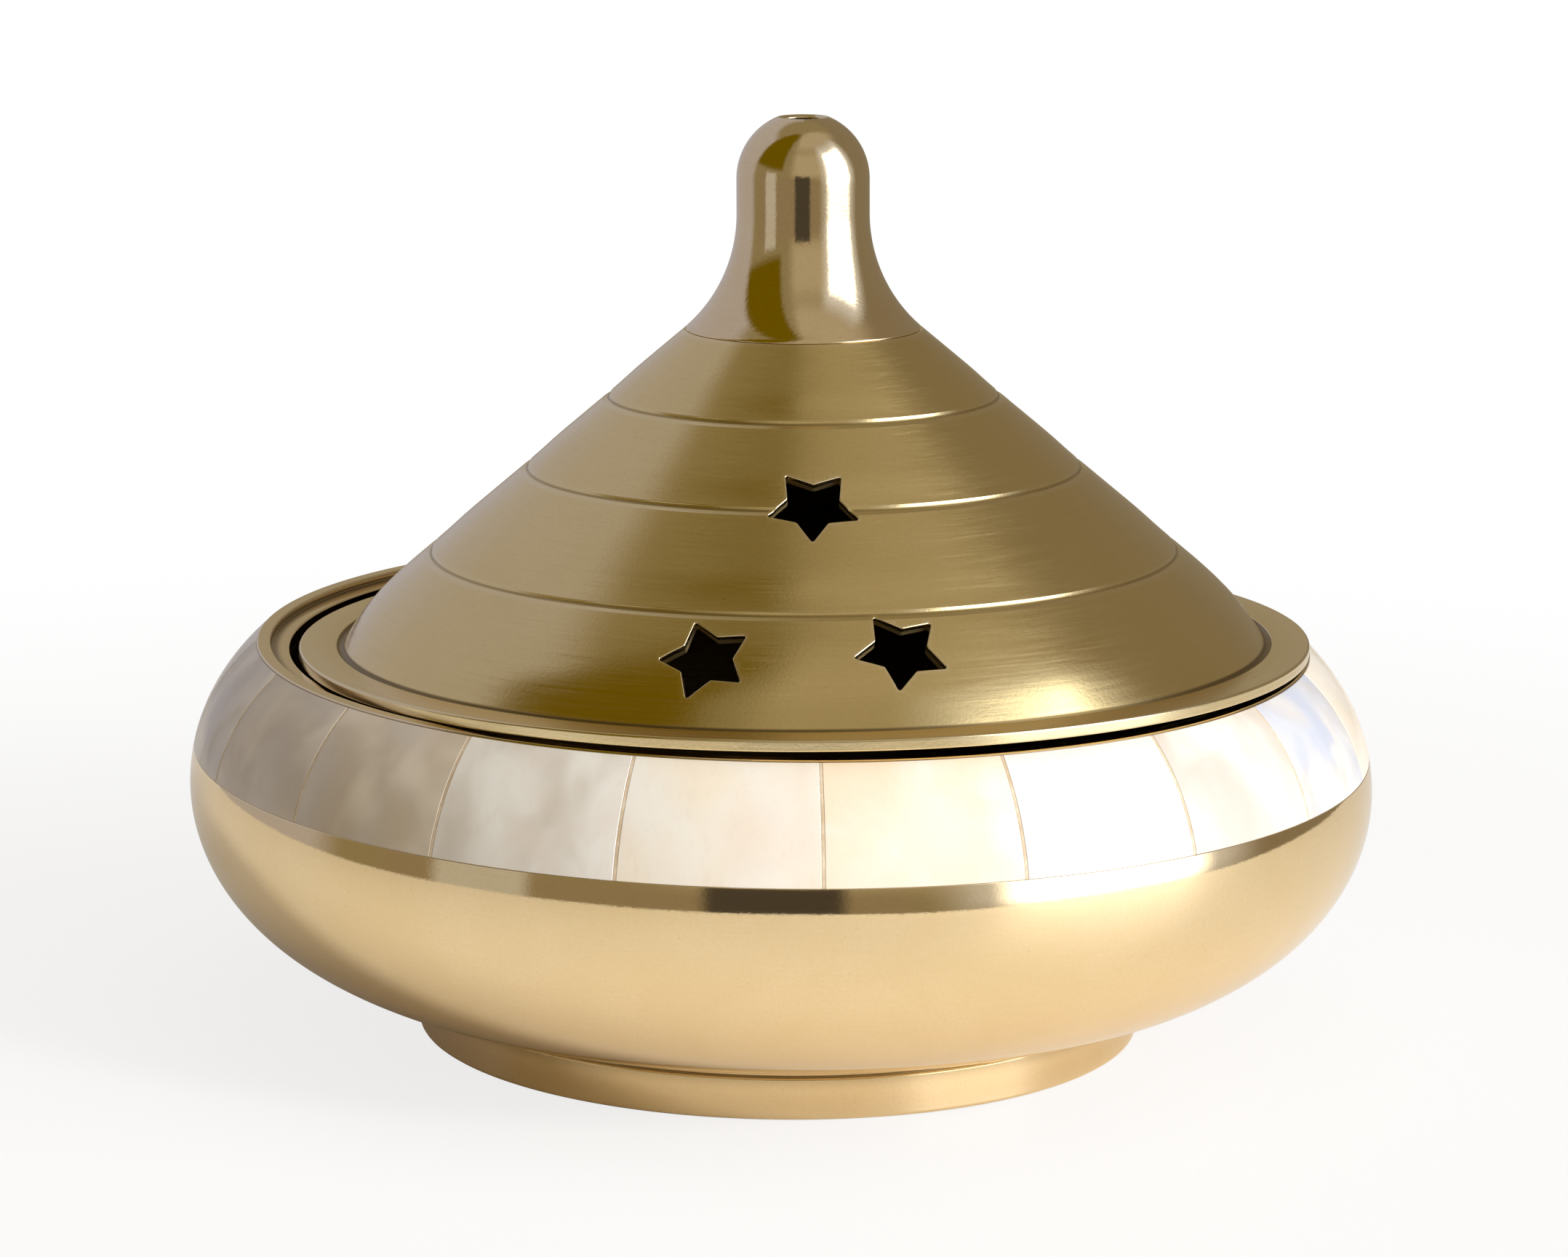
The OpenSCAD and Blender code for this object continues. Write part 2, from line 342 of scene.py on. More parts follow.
def star_line(lean, rng):
    """A punched star as a fine closed line: points and outward normals."""
    corners = []
    for i in range(10):
        r = STAR_R * (1 if i % 2 == 0 else STAR_WAIST) * (1 + rng.uniform(-0.025, 0.025))
        a = radians(lean - 90 + i * 36 + rng.uniform(-1.2, 1.2))
        corners.append((r * cos(a), r * sin(a), 0.16 if i % 2 == 0 else 0.3, 0.4))
    rows = outline(corners, steps=4)
    p, n = [], []
    for a, b in zip(rows, np.roll(rows, -1, 0)):
        gap = hypot(b[0] - a[0], b[1] - a[1])
        parts = max(1, int(gap / 0.25))
        for k in range(parts):
            p.append(a[:2] + (b[:2] - a[:2]) * k / parts)
            n.append(unit(a[2:4] + (b[2:4] - a[2:4]) * k / parts))
    return np.array(p), np.array(n)


def cast(p, z0, radius, low, high):
    """Where lines through the star plane's points p, square to the cone at
    height z0, meet a surface of that radius."""
    r0 = float(cone_r(z0, False))
    origin = np.array((0, -r0, z0))
    across, upward = np.array((1, 0, 0)), np.array((0, sin(SLOPE), cos(SLOPE)))
    out = np.array((0, -cos(SLOPE), sin(SLOPE)))
    base = origin + p[:, :1] * across + p[:, 1:2] * upward
    lo, hi = np.full(len(p), float(low)), np.full(len(p), float(high))
    for _ in range(40):
        mid = (lo + hi) / 2
        q = base + mid[:, None] * out
        beyond = np.hypot(q[:, 0], q[:, 1]) > radius(q[:, 2])
        hi, lo = np.where(beyond, mid, hi), np.where(beyond, lo, mid)
    return base + ((lo + hi) / 2)[:, None] * out, out


def spin(v, angle):
    """Turns points about Z by angle degrees, from the front towards +X."""
    c, s = cos(radians(angle)), sin(radians(angle))
    return np.stack([v[:, 0] * c - v[:, 1] * s, v[:, 0] * s + v[:, 1] * c, v[:, 2]], 1)


def profile_normal(radius, z, sign=1):
    d = 0.01
    slope = (radius(z + d) - radius(z - d)) / (2 * d)
    n = np.stack([np.ones_like(slope), -slope], 1)
    return sign * n / np.linalg.norm(n, axis=1)[:, None]


def fill_window(skin, flat, index, edge, w, hole, hole_index, clear, mode):
    """Joins a window's grid of vertices, w wide, to a hole's line with
    triangles. flat and hole hold the places laid out in a plane, edge marks
    the window's own border, and grid points nearer than clear are left out."""
    near = np.array([np.min(np.hypot(*(hole - q).T)) for q in flat])
    keep = edge | (~inside(hole, flat) & (near > clear))
    place = {g: k for k, g in enumerate(np.flatnonzero(keep))}
    h = len(flat) // w
    edges = []
    for j in range(h - 1):
        edges += [(j * w, (j + 1) * w), (j * w + w - 1, (j + 1) * w + w - 1)]
    for i in range(w - 1):
        edges += [(i, i + 1), ((h - 1) * w + i, (h - 1) * w + i + 1)]
    edges = [(place[a], place[b]) for a, b in edges]
    base, n = int(keep.sum()), len(hole)
    edges += [(base + k, base + (k + 1) % n) for k in range(n)]
    points = np.concatenate([flat[keep], hole])
    ids = np.concatenate([index[keep], np.arange(hole_index, hole_index + n)])
    co, _, tris, origins = delaunay_2d_cdt([Vector(q) for q in points], edges, [], mode, 1e-7)[:4]
    names = [ids[o[0]] if o else -1 for o in origins]
    centres = np.array([sum((np.array(co[v]) for v in t), np.zeros(2)) / 3 for t in tris])
    for t, drop in zip(tris, inside(hole, centres)):
        if not drop and all(names[v] >= 0 for v in t):
            skin.faces.append(tuple(int(names[v]) for v in t))


def patch(skin, zs, starts, cols, hole, hole_index, radius):
    """Fills the window of a lathe surface round a hole. zs are its rows'
    heights, starts their first vertices and cols the column numbers."""
    phi = np.radians(np.array(cols) * 360.0 / COLS)
    mid = phi.mean()
    scale = float(radius(np.array(zs)).mean())
    stretch = 1 / cos(SLOPE)
    flat, index, edge = [], [], []
    for j, z in enumerate(zs):
        for i, a in enumerate(phi):
            flat.append(((a - mid) * scale, z * stretch))
            index.append(starts[j] + cols[i] % COLS)
            edge.append(j in (0, len(zs) - 1) or i in (0, len(phi) - 1))
    flat, index, edge = np.array(flat), np.array(index), np.array(edge)
    h_phi = np.arctan2(hole[:, 0], -hole[:, 1])
    h_phi = (h_phi - mid + pi) % (2 * pi) - pi
    h_flat = np.stack([h_phi * scale, hole[:, 2] * stretch], 1)
    fill_window(skin, flat, index, edge, len(phi), h_flat, hole_index, STAR_CLEAR, 0)


# ---------------------------------------------------------------- materials
class Graph:
    """Short names for building node trees."""

    def __init__(self, tree):
        self.tree = tree

    def node(self, kind, ins=None, **props):
        n = self.tree.nodes.new(kind)
        for k, v in props.items():
            setattr(n, k, v)
        for k, v in (ins or {}).items():
            self.put(n.inputs[k], v)
        return n

    def put(self, socket, value):
        if isinstance(value, bpy.types.NodeSocket):
            self.tree.links.new(value, socket)
        elif value is not None:
            socket.default_value = value

    def math(self, op, a, b=None, c=None, clamp=False):
        n = self.node("ShaderNodeMath", operation=op, use_clamp=clamp)
        for s, v in zip(n.inputs, (a, b, c)):
            self.put(s, v)
        return n.outputs[0]

    def vec(self, op, a, b=None):
        n = self.node("ShaderNodeVectorMath", operation=op)
        for s, v in zip(n.inputs, (a, b)):
            self.put(s, v)
        return n.outputs[0]

    def scaled(self, a, factor):
        return self.vec("MULTIPLY", a, tuple(factor))

    def ramp(self, value, low, high, to_low=0.0, to_high=1.0, smooth=True):
        n = self.node("ShaderNodeMapRange", interpolation_type="SMOOTHSTEP" if smooth else "LINEAR")
        for s, v in zip(n.inputs, (value, low, high, to_low, to_high)):
            self.put(s, v)
        return n.outputs[0]

    def mix(self, factor, a, b, mode="MIX"):
        n = self.node("ShaderNodeMix", data_type="RGBA", blend_type=mode, clamp_factor=True)
        self.put(n.inputs[0], factor)
        self.put(n.inputs[6], rgba(a))
        self.put(n.inputs[7], rgba(b))
        return n.outputs[2]

    def noise(self, vector, scale, detail=2.0, rough=0.5, distort=0.0):
        n = self.node(
            "ShaderNodeTexNoise",
            {"Vector": vector, "Scale": scale, "Detail": detail, "Roughness": rough, "Distortion": distort},
        )
        return n.outputs["Fac"]

    def split(self, vector):
        return self.node("ShaderNodeSeparateXYZ", {0: vector}).outputs

    def join(self, x, y, z):
        return self.node("ShaderNodeCombineXYZ", {0: x, 1: y, 2: z}).outputs[0]

    def attribute(self, name, output="Fac"):
        return self.node("ShaderNodeAttribute", attribute_name=name).outputs[output]


def rgba(c):
    return (*c, 1.0) if isinstance(c, tuple) and len(c) == 3 else c


def material(name):
    m = bpy.data.materials.new(name)
    m.use_nodes = True
    g = Graph(m.node_tree)
    bsdf = next(n for n in m.node_tree.nodes if n.type == "BSDF_PRINCIPLED")
    return m, g, bsdf


def turned_brass(name, colour, tarnish, rough, line_bump, wave_bump, aniso=0.0, across=0.0, streak=1.0):
    """Brass worked on a lathe: turning lines, buffing haze, tarnish with painted shade
    in the corners, and rubbed brass with painted highlights on the edges."""
    m, g, b = material(name)
    mm = g.scaled(g.node("ShaderNodeTexCoord").outputs["Object"], (1 / MM,) * 3)
    turned = g.attribute("turned", "Vector")
    wear = g.attribute("wear")
    lines = g.noise(g.scaled(turned, (5, 5, 7)), 1.0, 4.0, 0.7)
    fine = g.noise(g.scaled(turned, (9, 9, 26)), 1.0, 3.0, 0.65)
    cloud = g.noise(mm, 0.09, 3.0, 0.55, 0.6)
    speck = g.noise(mm, 2.6, 3.0, 0.6)
    grain = g.noise(mm, 3.4, 2.0, 0.6)
    smear = g.noise(g.scaled(turned, (2.5, 2.5, 1.6)), 1.0, 4.0, 0.62, 0.3)
    # edge picks out painted highlights with rubbed brass, crevice painted shade with tarnish
    edge = g.ramp(wear, 0.15, 0.7)
    crevice = g.ramp(wear, -0.1, -0.8)
    shade = g.mix(g.ramp(cloud, 0.35, 0.7, 0.0, 0.4), colour, tarnish)
    shade = g.mix(g.math("MULTIPLY", g.ramp(lines, 0.45, 0.75), 0.35 * streak), shade, tarnish)
    shade = g.mix(g.math("MULTIPLY", g.ramp(speck, 0.66, 0.78), 0.35), shade, (0.36, 0.24, 0.11))
    shade = g.mix(g.ramp(grain, 0.35, 0.7, 0.0, 0.4), shade, tarnish)
    # painted shade: corners darkened towards dark brown
    shade = g.mix(g.math("MULTIPLY", crevice, 0.8), shade, (0.17, 0.11, 0.035))
    # painted highlight: edges lightened towards pale brass
    shade = g.mix(g.math("MULTIPLY", edge, 0.35), shade, (0.96, 0.85, 0.62))
    g.put(b.inputs["Base Color"], shade)
    g.put(b.inputs["Metallic"], 1.0)
    r = g.ramp(smear, 0.3, 0.75, rough * 0.85, rough * 1.2)
    r = g.math("ADD", r, g.math("MULTIPLY", g.ramp(lines, 0.35, 0.8), rough * 0.5 * streak))
    r = g.math("ADD", r, g.math("MULTIPLY", crevice, 0.3), clamp=True)
    g.put(b.inputs["Roughness"], r)
    if aniso:
        g.put(b.inputs["Anisotropic"], aniso)
        g.put(b.inputs["Anisotropic Rotation"], across)
        tangent = g.node("ShaderNodeTangent", direction_type="RADIAL", axis="Z")
        g.put(b.inputs["Tangent"], tangent.outputs[0])
    swell = g.noise(mm, 0.13, 1.0, 0.4)
    bump = g.node("ShaderNodeBump", {"Height": swell, "Distance": wave_bump * MM, "Strength": 1.0})
    pebble = {"Height": grain, "Distance": line_bump * 2.5 * MM, "Strength": 1.0, "Normal": bump.outputs[0]}
    bump = g.node("ShaderNodeBump", pebble)
    bump = g.node(
        "ShaderNodeBump",
        {
            "Height": g.math("ADD", g.math("MULTIPLY", lines, 0.6), g.math("MULTIPLY", fine, 0.4)),
            "Distance": line_bump * MM,
            "Strength": 1.0,
            "Normal": bump.outputs[0],
        },
    )
    g.put(b.inputs["Normal"], bump.outputs[0])
    return m


def pearl_material(name, base, second, veil):
    """One mother-of-pearl tile: clouded bands, growth lines and a soft gloss."""
    m, g, b = material(name)
    mm = g.scaled(g.node("ShaderNodeTexCoord").outputs["Object"], (1 / MM,) * 3)
    seed = g.attribute("seed")
    moved = g.vec("ADD", mm, g.join(g.math("MULTIPLY", seed, 31.7), g.math("MULTIPLY", seed, 17.3), 0.0))
    warp = g.noise(moved, 0.11, 2.0, 0.5, 0.8)
    fold = g.vec("ADD", g.scaled(moved, (0.16, 0.16, 0.07)), g.join(0.0, 0.0, g.math("MULTIPLY", warp, 1.4)))
    band = g.noise(fold, 1.0, 2.0, 0.4, 0.3)
    cloud = g.noise(moved, 0.15, 2.0, 0.5, 0.5)
    bend = g.join(0.0, 0.0, g.math("MULTIPLY", warp, 7.0))
    lines = g.noise(g.vec("ADD", g.scaled(moved, (1.3, 1.3, 0.25)), bend), 1.0, 3.0, 0.6)
    col = g.mix(g.ramp(band, 0.3, 0.7, 0.0, 0.8), base, second)
    col = g.mix(g.ramp(cloud, 0.42, 0.78, 0.0, 0.6), col, veil)
    col = g.mix(g.math("MULTIPLY", g.ramp(lines, 0.5, 0.75), 0.16), col, (0.62, 0.52, 0.42))
    g.put(b.inputs["Base Color"], col)
    g.put(b.inputs["Roughness"], g.ramp(cloud, 0.3, 0.7, 0.3, 0.45))
    g.put(b.inputs["Coat Weight"], 0.45)
    g.put(b.inputs["Coat Roughness"], 0.09)
    g.put(b.inputs["Specular IOR Level"], 0.6)
    wave = g.noise(mm, 0.3, 1.0)
    swell = g.node("ShaderNodeBump", {"Height": wave, "Distance": 0.02 * MM, "Strength": 1.0})
    bump = g.node(
        "ShaderNodeBump",
        {"Height": lines, "Distance": 0.006 * MM, "Strength": 1.0, "Normal": swell.outputs[0]},
    )
    g.put(b.inputs["Normal"], bump.outputs[0])
    g.put(b.inputs["Coat Normal"], swell.outputs[0])
    return m


def cement_material():
    m, g, b = material("joint_cement")
    mm = g.scaled(g.node("ShaderNodeTexCoord").outputs["Object"], (1 / MM,) * 3)
    grain = g.noise(mm, 1.6, 4.0, 0.7)
    patchy = g.noise(mm, 0.25, 2.0)
    col = g.mix(g.ramp(grain, 0.35, 0.7), (0.58, 0.46, 0.31), (0.72, 0.61, 0.46))
    col = g.mix(g.ramp(patchy, 0.45, 0.7, 0.0, 0.6), col, (0.48, 0.34, 0.20))
    g.put(b.inputs["Base Color"], col)
    g.put(b.inputs["Roughness"], g.ramp(grain, 0.3, 0.7, 0.45, 0.7))
    bump = g.node("ShaderNodeBump", {"Height": grain, "Distance": 0.02 * MM})
    g.put(b.inputs["Normal"], bump.outputs[0])
    return m


BRASS = (0.90, 0.71, 0.43)
POLISHED = turned_brass("polished_brass", BRASS, (0.83, 0.63, 0.33), 0.045, 0.0007, 0.02)
MIRROR = turned_brass("mirror_brass", (0.88, 0.72, 0.46), (0.80, 0.61, 0.36), 0.055, 0.002, 0.01)
BRUSHED = turned_brass(
    "brushed_brass",
    (0.83, 0.65, 0.32),
    (0.76, 0.58, 0.26),
    0.15,
    0.0024,
    0.004,
    aniso=0.8,
    across=0.25,
    streak=1.7,
)
# Near-black brass for the insides: soot, and painted shade for the dark in there.
SOOT_SHADE_BRASS = turned_brass("soot_and_shade_brass", (0.22, 0.155, 0.085), (0.09, 0.06, 0.035), 0.42, 0.004, 0.03, 0.3)
INNER = turned_brass("plain_brass", (0.76, 0.57, 0.30), (0.55, 0.38, 0.18), 0.24, 0.003, 0.02, 0.4)


# ---------------------------------------------------------------- bowl
def build_bowl():
    build_shell()
    build_rim()
    build_foot()


def build_shell():
    top = bulge(T_BAND)
    skin = Skin()
    rows = outline(
        [(0.0, BOTTOM_Z, None)]
        + bulge_arc(-89, T_BAND - 0.6)
        + [(*top, BAND_EDGE), (*bulge(T_BAND, INLAY_T), None)]
        + bulge_arc(T_BAND + 1, T_LIP, INLAY_T, 2)
        # the inside of the bowl, painted near black: soot and painted shade
        + [(*q, SOOT_AND_SHADE) for q in bulge_arc(T_LIP, -89, WALL, 2)]
        + [(0.0, BOTTOM_Z + WALL, None, SOOT_AND_SHADE)],
        closed=False,
    )
    skin.lathe(rows, closed=False)
    skin.piece("bowl_shell_skin", "bowl", ["bowl_shell"], POLISHED, inside_material=SOOT_SHADE_BRASS)


def build_rim():
    top, under = bulge(T_LIP), bulge(T_LIP, WALL)
    skin = Skin()
    # painted shade in the seat's inner corner under the lid; painted highlights on the mouth's edges
    rows = outline(
        [
            (OPENING_R, under[1], 0.05),
            (OPENING_R, SEAT_Z, 0.18, 0.3),
            (SEAT_R, SEAT_Z, 0.12, -1.0),
            (SEAT_R, MOUTH_Z, 0.16, 0.5),
            (top[0] - 0.12, MOUTH_Z, 0.1, 0.5),
            (*top, 0.05),
            (*bulge(T_LIP, INLAY_T), None),
            (*under, None),
        ]
    )
    skin.lathe(rows)
    skin.piece("rim_ring_skin", "bowl", ["rim_ring"], MIRROR)


def build_foot():
    foot_top = BOTTOM_Z
    bead = 0.35
    neck = FOOT_R - bead
    skin = Skin()
    # painted highlights on the foot's bottom edges and bead; painted shade under the bead and in the neck
    # where the foot meets the bowl
    rows = outline(
        [
            (FOOT_R - FOOT_WALL, 0.0, 0.3, 0.3),
            (FOOT_R - 0.1, 0.0, 0.35, 0.5),
            (FOOT_R - 0.05, foot_top - 1.15, 0.2, -0.4),
            (neck, foot_top - 1.05, 0.08, -0.8),
        ]
        + [
            (neck - 0.02 + bead * cos(radians(a)), foot_top - 0.62 + bead * sin(radians(a)), None, 0.4)
            for a in range(-70, 71, 14)
        ]
        + [
            (neck - 0.05, foot_top - 0.2, 0.06, -1.0),
            (neck - 0.05, foot_top, None, -1.0),
            (FOOT_R - FOOT_WALL, foot_top, None),
        ]
    )
    skin.lathe(rows)
    skin.piece("foot_ring_skin", "bowl", ["foot_ring"], POLISHED)


def joint_at(i):
    return JOINT_TURN + i * 360 / TILES + JOINT_STRAY * sin(radians(36 * i))


def band_patch(skin, a0, a1, t0, t1, outer, depth, fillet, nu, nv):
    """A closed curved slab of the band from angle a0 to a1 with rounded edges."""
    mid_r = bulge((t0 + t1) / 2)[0]
    arc = radians(a1 - a0) * mid_r
    walk = np.array([bulge(t) for t in np.linspace(t0, t1, 21)])
    length = float(np.hypot(*np.diff(walk, axis=0).T).sum())
    bevel = [0.0, 0.12, 0.5, 1.0]

    def places(total, n):
        cut = fillet / total
        ends = [cut * b for b in bevel]
        return ends + list(np.linspace(cut, 1 - cut, n)[1:-1]) + [1 - e for e in reversed(ends)]

    us, vs = places(arc, nu), places(length, nv)

    def point(u, v, inset):
        a = radians(a0 + (a1 - a0) * u)
        r, z = bulge(t0 + (t1 - t0) * v, inset)
        return (r * sin(a), -r * cos(a), z)

    grids = []
    for face in (0, 1):
        co, no, tu = [], [], []
        for v in vs:
            for u in us:
                a = radians(a0 + (a1 - a0) * u)
                t = radians(t0 + (t1 - t0) * v)
                half = BULGE_DOWN if t < 0 else BULGE_UP
                nr, nz = unit((cos(t) / BULGE_OUT, sin(t) / half))
                n = np.array((nr * sin(a), -nr * cos(a), nz))
                if face:
                    co.append(point(u, v, depth))
                    no.append(-n)
                else:
                    du = min(u, 1 - u) * arc / fillet
                    dv = min(v, 1 - v) * length / fillet
                    ku, kv = max(0.0, 1 - du), max(0.0, 1 - dv)
                    k = min(1.0, hypot(ku, kv))
                    co.append(point(u, v, outer + fillet * (1 - (1 - k * k) ** 0.5)))
                    side_u = np.array((cos(a), sin(a), 0)) * (ku if u > 0.5 else -ku)
                    side_v = np.array((-nz * sin(a), nz * cos(a), nr)) * (kv if v > 0.5 else -kv)
                    no.append(unit(n * max(0.05, (1 - k * k) ** 0.5) + side_u + side_v))
                tu.append((sin(a), -cos(a), t * 20))
        grids.append(skin.add(co, no, tu, 0.0))
    w, h = len(us), len(vs)
    for g in grids:
        for j in range(h - 1):
            for i in range(w - 1):
                k = g + j * w + i
                skin.faces.append((k, k + 1, k + w + 1, k + w))
    ring = [i for i in range(w)] + [j * w + w - 1 for j in range(1, h)]
    ring += [(h - 1) * w + i for i in range(w - 2, -1, -1)] + [j * w for j in range(h - 2, 0, -1)]
    for a, b in zip(ring, ring[1:] + ring[:1]):
        skin.faces.append((grids[0] + a, grids[0] + b, grids[1] + b, grids[1] + a))


WHITE = (0.80, 0.77, 0.71)
CREAM = (0.80, 0.71, 0.57)
PEACH = (0.80, 0.64, 0.45)
ROSE = (0.72, 0.62, 0.54)
BLUE = (0.50, 0.54, 0.64)
GREY = (0.54, 0.47, 0.39)
TAUPE = (0.50, 0.40, 0.27)
OLIVE = (0.40, 0.33, 0.16)
PEARL_LOOKS = {
    "warm": (CREAM, PEACH, WHITE),
    "white": (WHITE, (0.68, 0.67, 0.65), CREAM),
    "veined": (WHITE, GREY, ROSE),
    "blue": (BLUE, WHITE, GREY),
    "cream": (CREAM, WHITE, ROSE),
    "smoky": (GREY, TAUPE, CREAM),
    "olive": (GREY, CREAM, OLIVE),
}
TILE_LOOKS = (
    "warm white veined blue cream veined smoky warm white blue "
    "cream veined olive white cream olive smoky smoky veined cream"
).split()


def build_band():
    looks = {k: pearl_material("pearl_" + k, *v) for k, v in PEARL_LOOKS.items()}
    n = ((20, 18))
    for i in range(TILES):
        skin = Skin()
        a0, a1 = joint_at(i) + JOINT_W / 2, joint_at(i + 1) - JOINT_W / 2
        band_patch(skin, a0, a1, T_BAND, T_LIP, 0.0, TILE_T, 0.07, *n)
        node = f"pearl_tile_{i + 1:02d}"
        look, seed = looks[TILE_LOOKS[i]], {"seed": float(i + 1)}
        skin.piece(node + "_skin", "bowl", [node], look, extra=seed)
    skin = Skin()
    lower = bulge_arc(T_BAND, T_LIP, TILE_T, 2)
    rows = outline(lower + bulge_arc(T_LIP, T_BAND, INLAY_T, 2))
    skin.lathe(rows)
    for i in range(TILES):
        a = joint_at(i)
        band_patch(skin, a - JOINT_W / 2, a + JOINT_W / 2, T_BAND, T_LIP, 0.03, TILE_T, 0.05, 4, 14)
    skin.piece("joint_cement", "bowl", ["inlay_cement"], cement_material())


# ---------------------------------------------------------------- lid
GROOVE_REACH = 0.32
GROOVE_ROWS = (-GROOVE_REACH, -0.27, -0.22, -0.15, -0.07, 0, 0.07, 0.15, 0.22, 0.27)
ROW_GAP = 0.4
CONE_FOOT = FLANGE_T + ROW_GAP / 2
UNDER_CAP = CROWN_Z - CAP_T
LINING_TOP = UNDER_CAP - 0.8


def cone_heights():
    """The rows up the outside of the cone, closer together in the grooves."""
    zs = [CONE_FOOT, FLANGE_T + ROW_GAP]
    while zs[-1] < CROWN_Z - 0.3:
        z = zs[-1] + ROW_GAP
        for g in GROOVES:
            if zs[-1] < g - GROOVE_REACH <= z:
                zs += [g + d for d in GROOVE_ROWS]
                z = g + GROOVE_REACH
        zs.append(z)
    return np.array([z for z in zs if z < CROWN_Z - 0.25])


def flange_rows():
    """The flange that sits in the rim, and the fillet at the cone's root."""
    root_x = float(cone_r(FLANGE_T)) + ROOT_R
    # painted highlights on the flange's edges; painted shade in the root fillet where the cone meets the
    # flange
    corners = [
        (float(inner_r(0.0)), 0.0, 0.15),
        (FLANGE_R, 0.0, 0.14, 0.5),
        (FLANGE_R, FLANGE_T, 0.2, 0.8),
        (root_x + ROOT_R + 0.05, FLANGE_T, 0.08, 0.2),
    ]
    for a in range(-20, -161, -20):
        x, z = root_x + ROOT_R * cos(radians(a)), FLANGE_T + ROOT_R * 0.8 * sin(radians(a))
        corners.append((x, z, None, -1.0))
    corners.append((float(outer_r(CONE_FOOT)), CONE_FOOT, None, -0.5))
    return outline(corners, closed=False)[:-1]


def cone_rows(zs):
    n = profile_normal(outer_r, zs)
    near = np.min([np.abs(zs - g) for g in GROOVES], axis=0)
    # groove bottoms get painted shade, their shoulders painted highlights
    wear = np.where(near < 0.12, -0.5, np.where(near < 0.33, 0.35, 0.0))
    return np.stack([outer_r(zs), zs, n[:, 0], n[:, 1], wear], 1)


def crown_rows(last_z):
    """The flat crown under the finial, and the bore that takes its spigot."""
    # painted highlight on the crown's outer edge
    corners = [
        (float(outer_r(last_z)), last_z, None),
        (CROWN_R, CROWN_Z, 0.12, 0.5),
        (SPIGOT_R, CROWN_Z, None),
        (SPIGOT_R, UNDER_CAP, 0.06),
        (float(inner_r(UNDER_CAP)), UNDER_CAP, 0.4),
        (float(inner_r(LINING_TOP)), LINING_TOP, None),
    ]
    return outline(corners, closed=False)[1:-1]


def lining_rows(zs):
    n = profile_normal(inner_r, zs, -1)
    # the lining is painted near black: soot and painted shade
    return np.stack([inner_r(zs), zs, n[:, 0], n[:, 1], 0 * zs + SOOT_AND_SHADE], 1)


def star_window(turn, z0, lean, rng, walls):
    """A star's place and line, then the columns and row spans of the window
    round it. walls holds, for the outside and the lining, the row heights,
    the first row and how far the window's middle lies above the star's."""
    line, normals = star_line(lean, rng)
    reach = STAR_R + 0.8
    half_h = reach * cos(SLOPE)
    half = degrees(reach / float(inner_r(z0 + half_h))) + 1
    c0 = int(np.floor((turn - half) * COLS / 360))
    c1 = int(np.ceil((turn + half) * COLS / 360))
    spans = []
    for zs, first, lift in walls:
        middle = z0 + lift
        level = np.flatnonzero((zs > middle - half_h - 0.6) & (zs < middle + half_h + 0.2))
        spans.append((first + level.min(), first + level.max()))
    return turn, z0, line, normals, c0, c1, spans


def wall_normals(q, radius, sign=1):
    """The normals of a lathe surface at the points q on it."""
    r = np.hypot(q[:, 0], q[:, 1])
    n = profile_normal(radius, q[:, 2], sign)
    return np.stack([n[:, 0] * q[:, 0] / r, n[:, 0] * q[:, 1] / r, n[:, 1]], 1)


def star_edge(z0, line, normals):
    """The loops down a punched star's edge, from the rolled lip outside to
    the lining: points, normals and shading marks. The lip gets a painted highlight,
    the wall towards the lining near black for soot and painted shade."""
    lip, burr = 0.11, 0.06
    across, upward = np.array((1, 0, 0)), np.array((0, sin(SLOPE), cos(SLOPE)))
    side = normals[:, :1] * across + normals[:, 1:2] * upward
    outer, out = cast(line, z0, outer_r, -4.0, 3.0)
    inner, _ = cast(line, z0, inner_r, -5.0, 2.0)
    wide, _ = cast(line + normals * lip, z0, outer_r, -4.0, 3.0)
    wide_in, _ = cast(line + normals * burr, z0, inner_r, -5.0, 2.0)
    face = wall_normals(wide, outer_r)
    loops = [(wide, face, 0.7)]
    for step, wear in ((30.0, 0.7), (60.0, 0.7), (90.0, 0.1)):
        a = radians(step)
        q = outer + side * lip * (1 - sin(a)) - out * lip * (1 - cos(a))
        loops.append((q, face * cos(a) - side * sin(a), wear))
    for share, wear in ((0.3, 0.0), (0.9, SOOT_AND_SHADE)):
        q = outer + (inner - outer) * share - out * lip * (1 - share)
        loops.append((q, -side, wear))
    loops.append((wide_in, wall_normals(wide_in, inner_r, -1), SOOT_AND_SHADE))
    return loops


def cut_star(skin, window, starts, walls):
    turn, z0, line, normals, c0, c1, spans = window
    loops, ids = star_edge(z0, line, normals), []
    for q, n, wear in loops:
        q, n = spin(q, turn), spin(n, turn)
        r = np.hypot(q[:, 0], q[:, 1])
        turned = np.stack([q[:, 0] / r, q[:, 1] / r, q[:, 2] / cos(SLOPE)], 1)
        ids.append((skin.add(q, n, turned, wear), len(q)))
    skin.strip(ids)
    cols = list(range(c0, c1 + 1))
    ends = ((outer_r, loops[0][0], ids[0][0]), (inner_r, loops[-1][0], ids[-1][0]))
    for (a, b), (zs, first, _), (radius, loop, index) in zip(spans, walls, ends):
        heights = zs[a - first : b - first + 1]
        patch(skin, heights, starts[a : b + 1], cols, spin(loop, turn), index, radius)


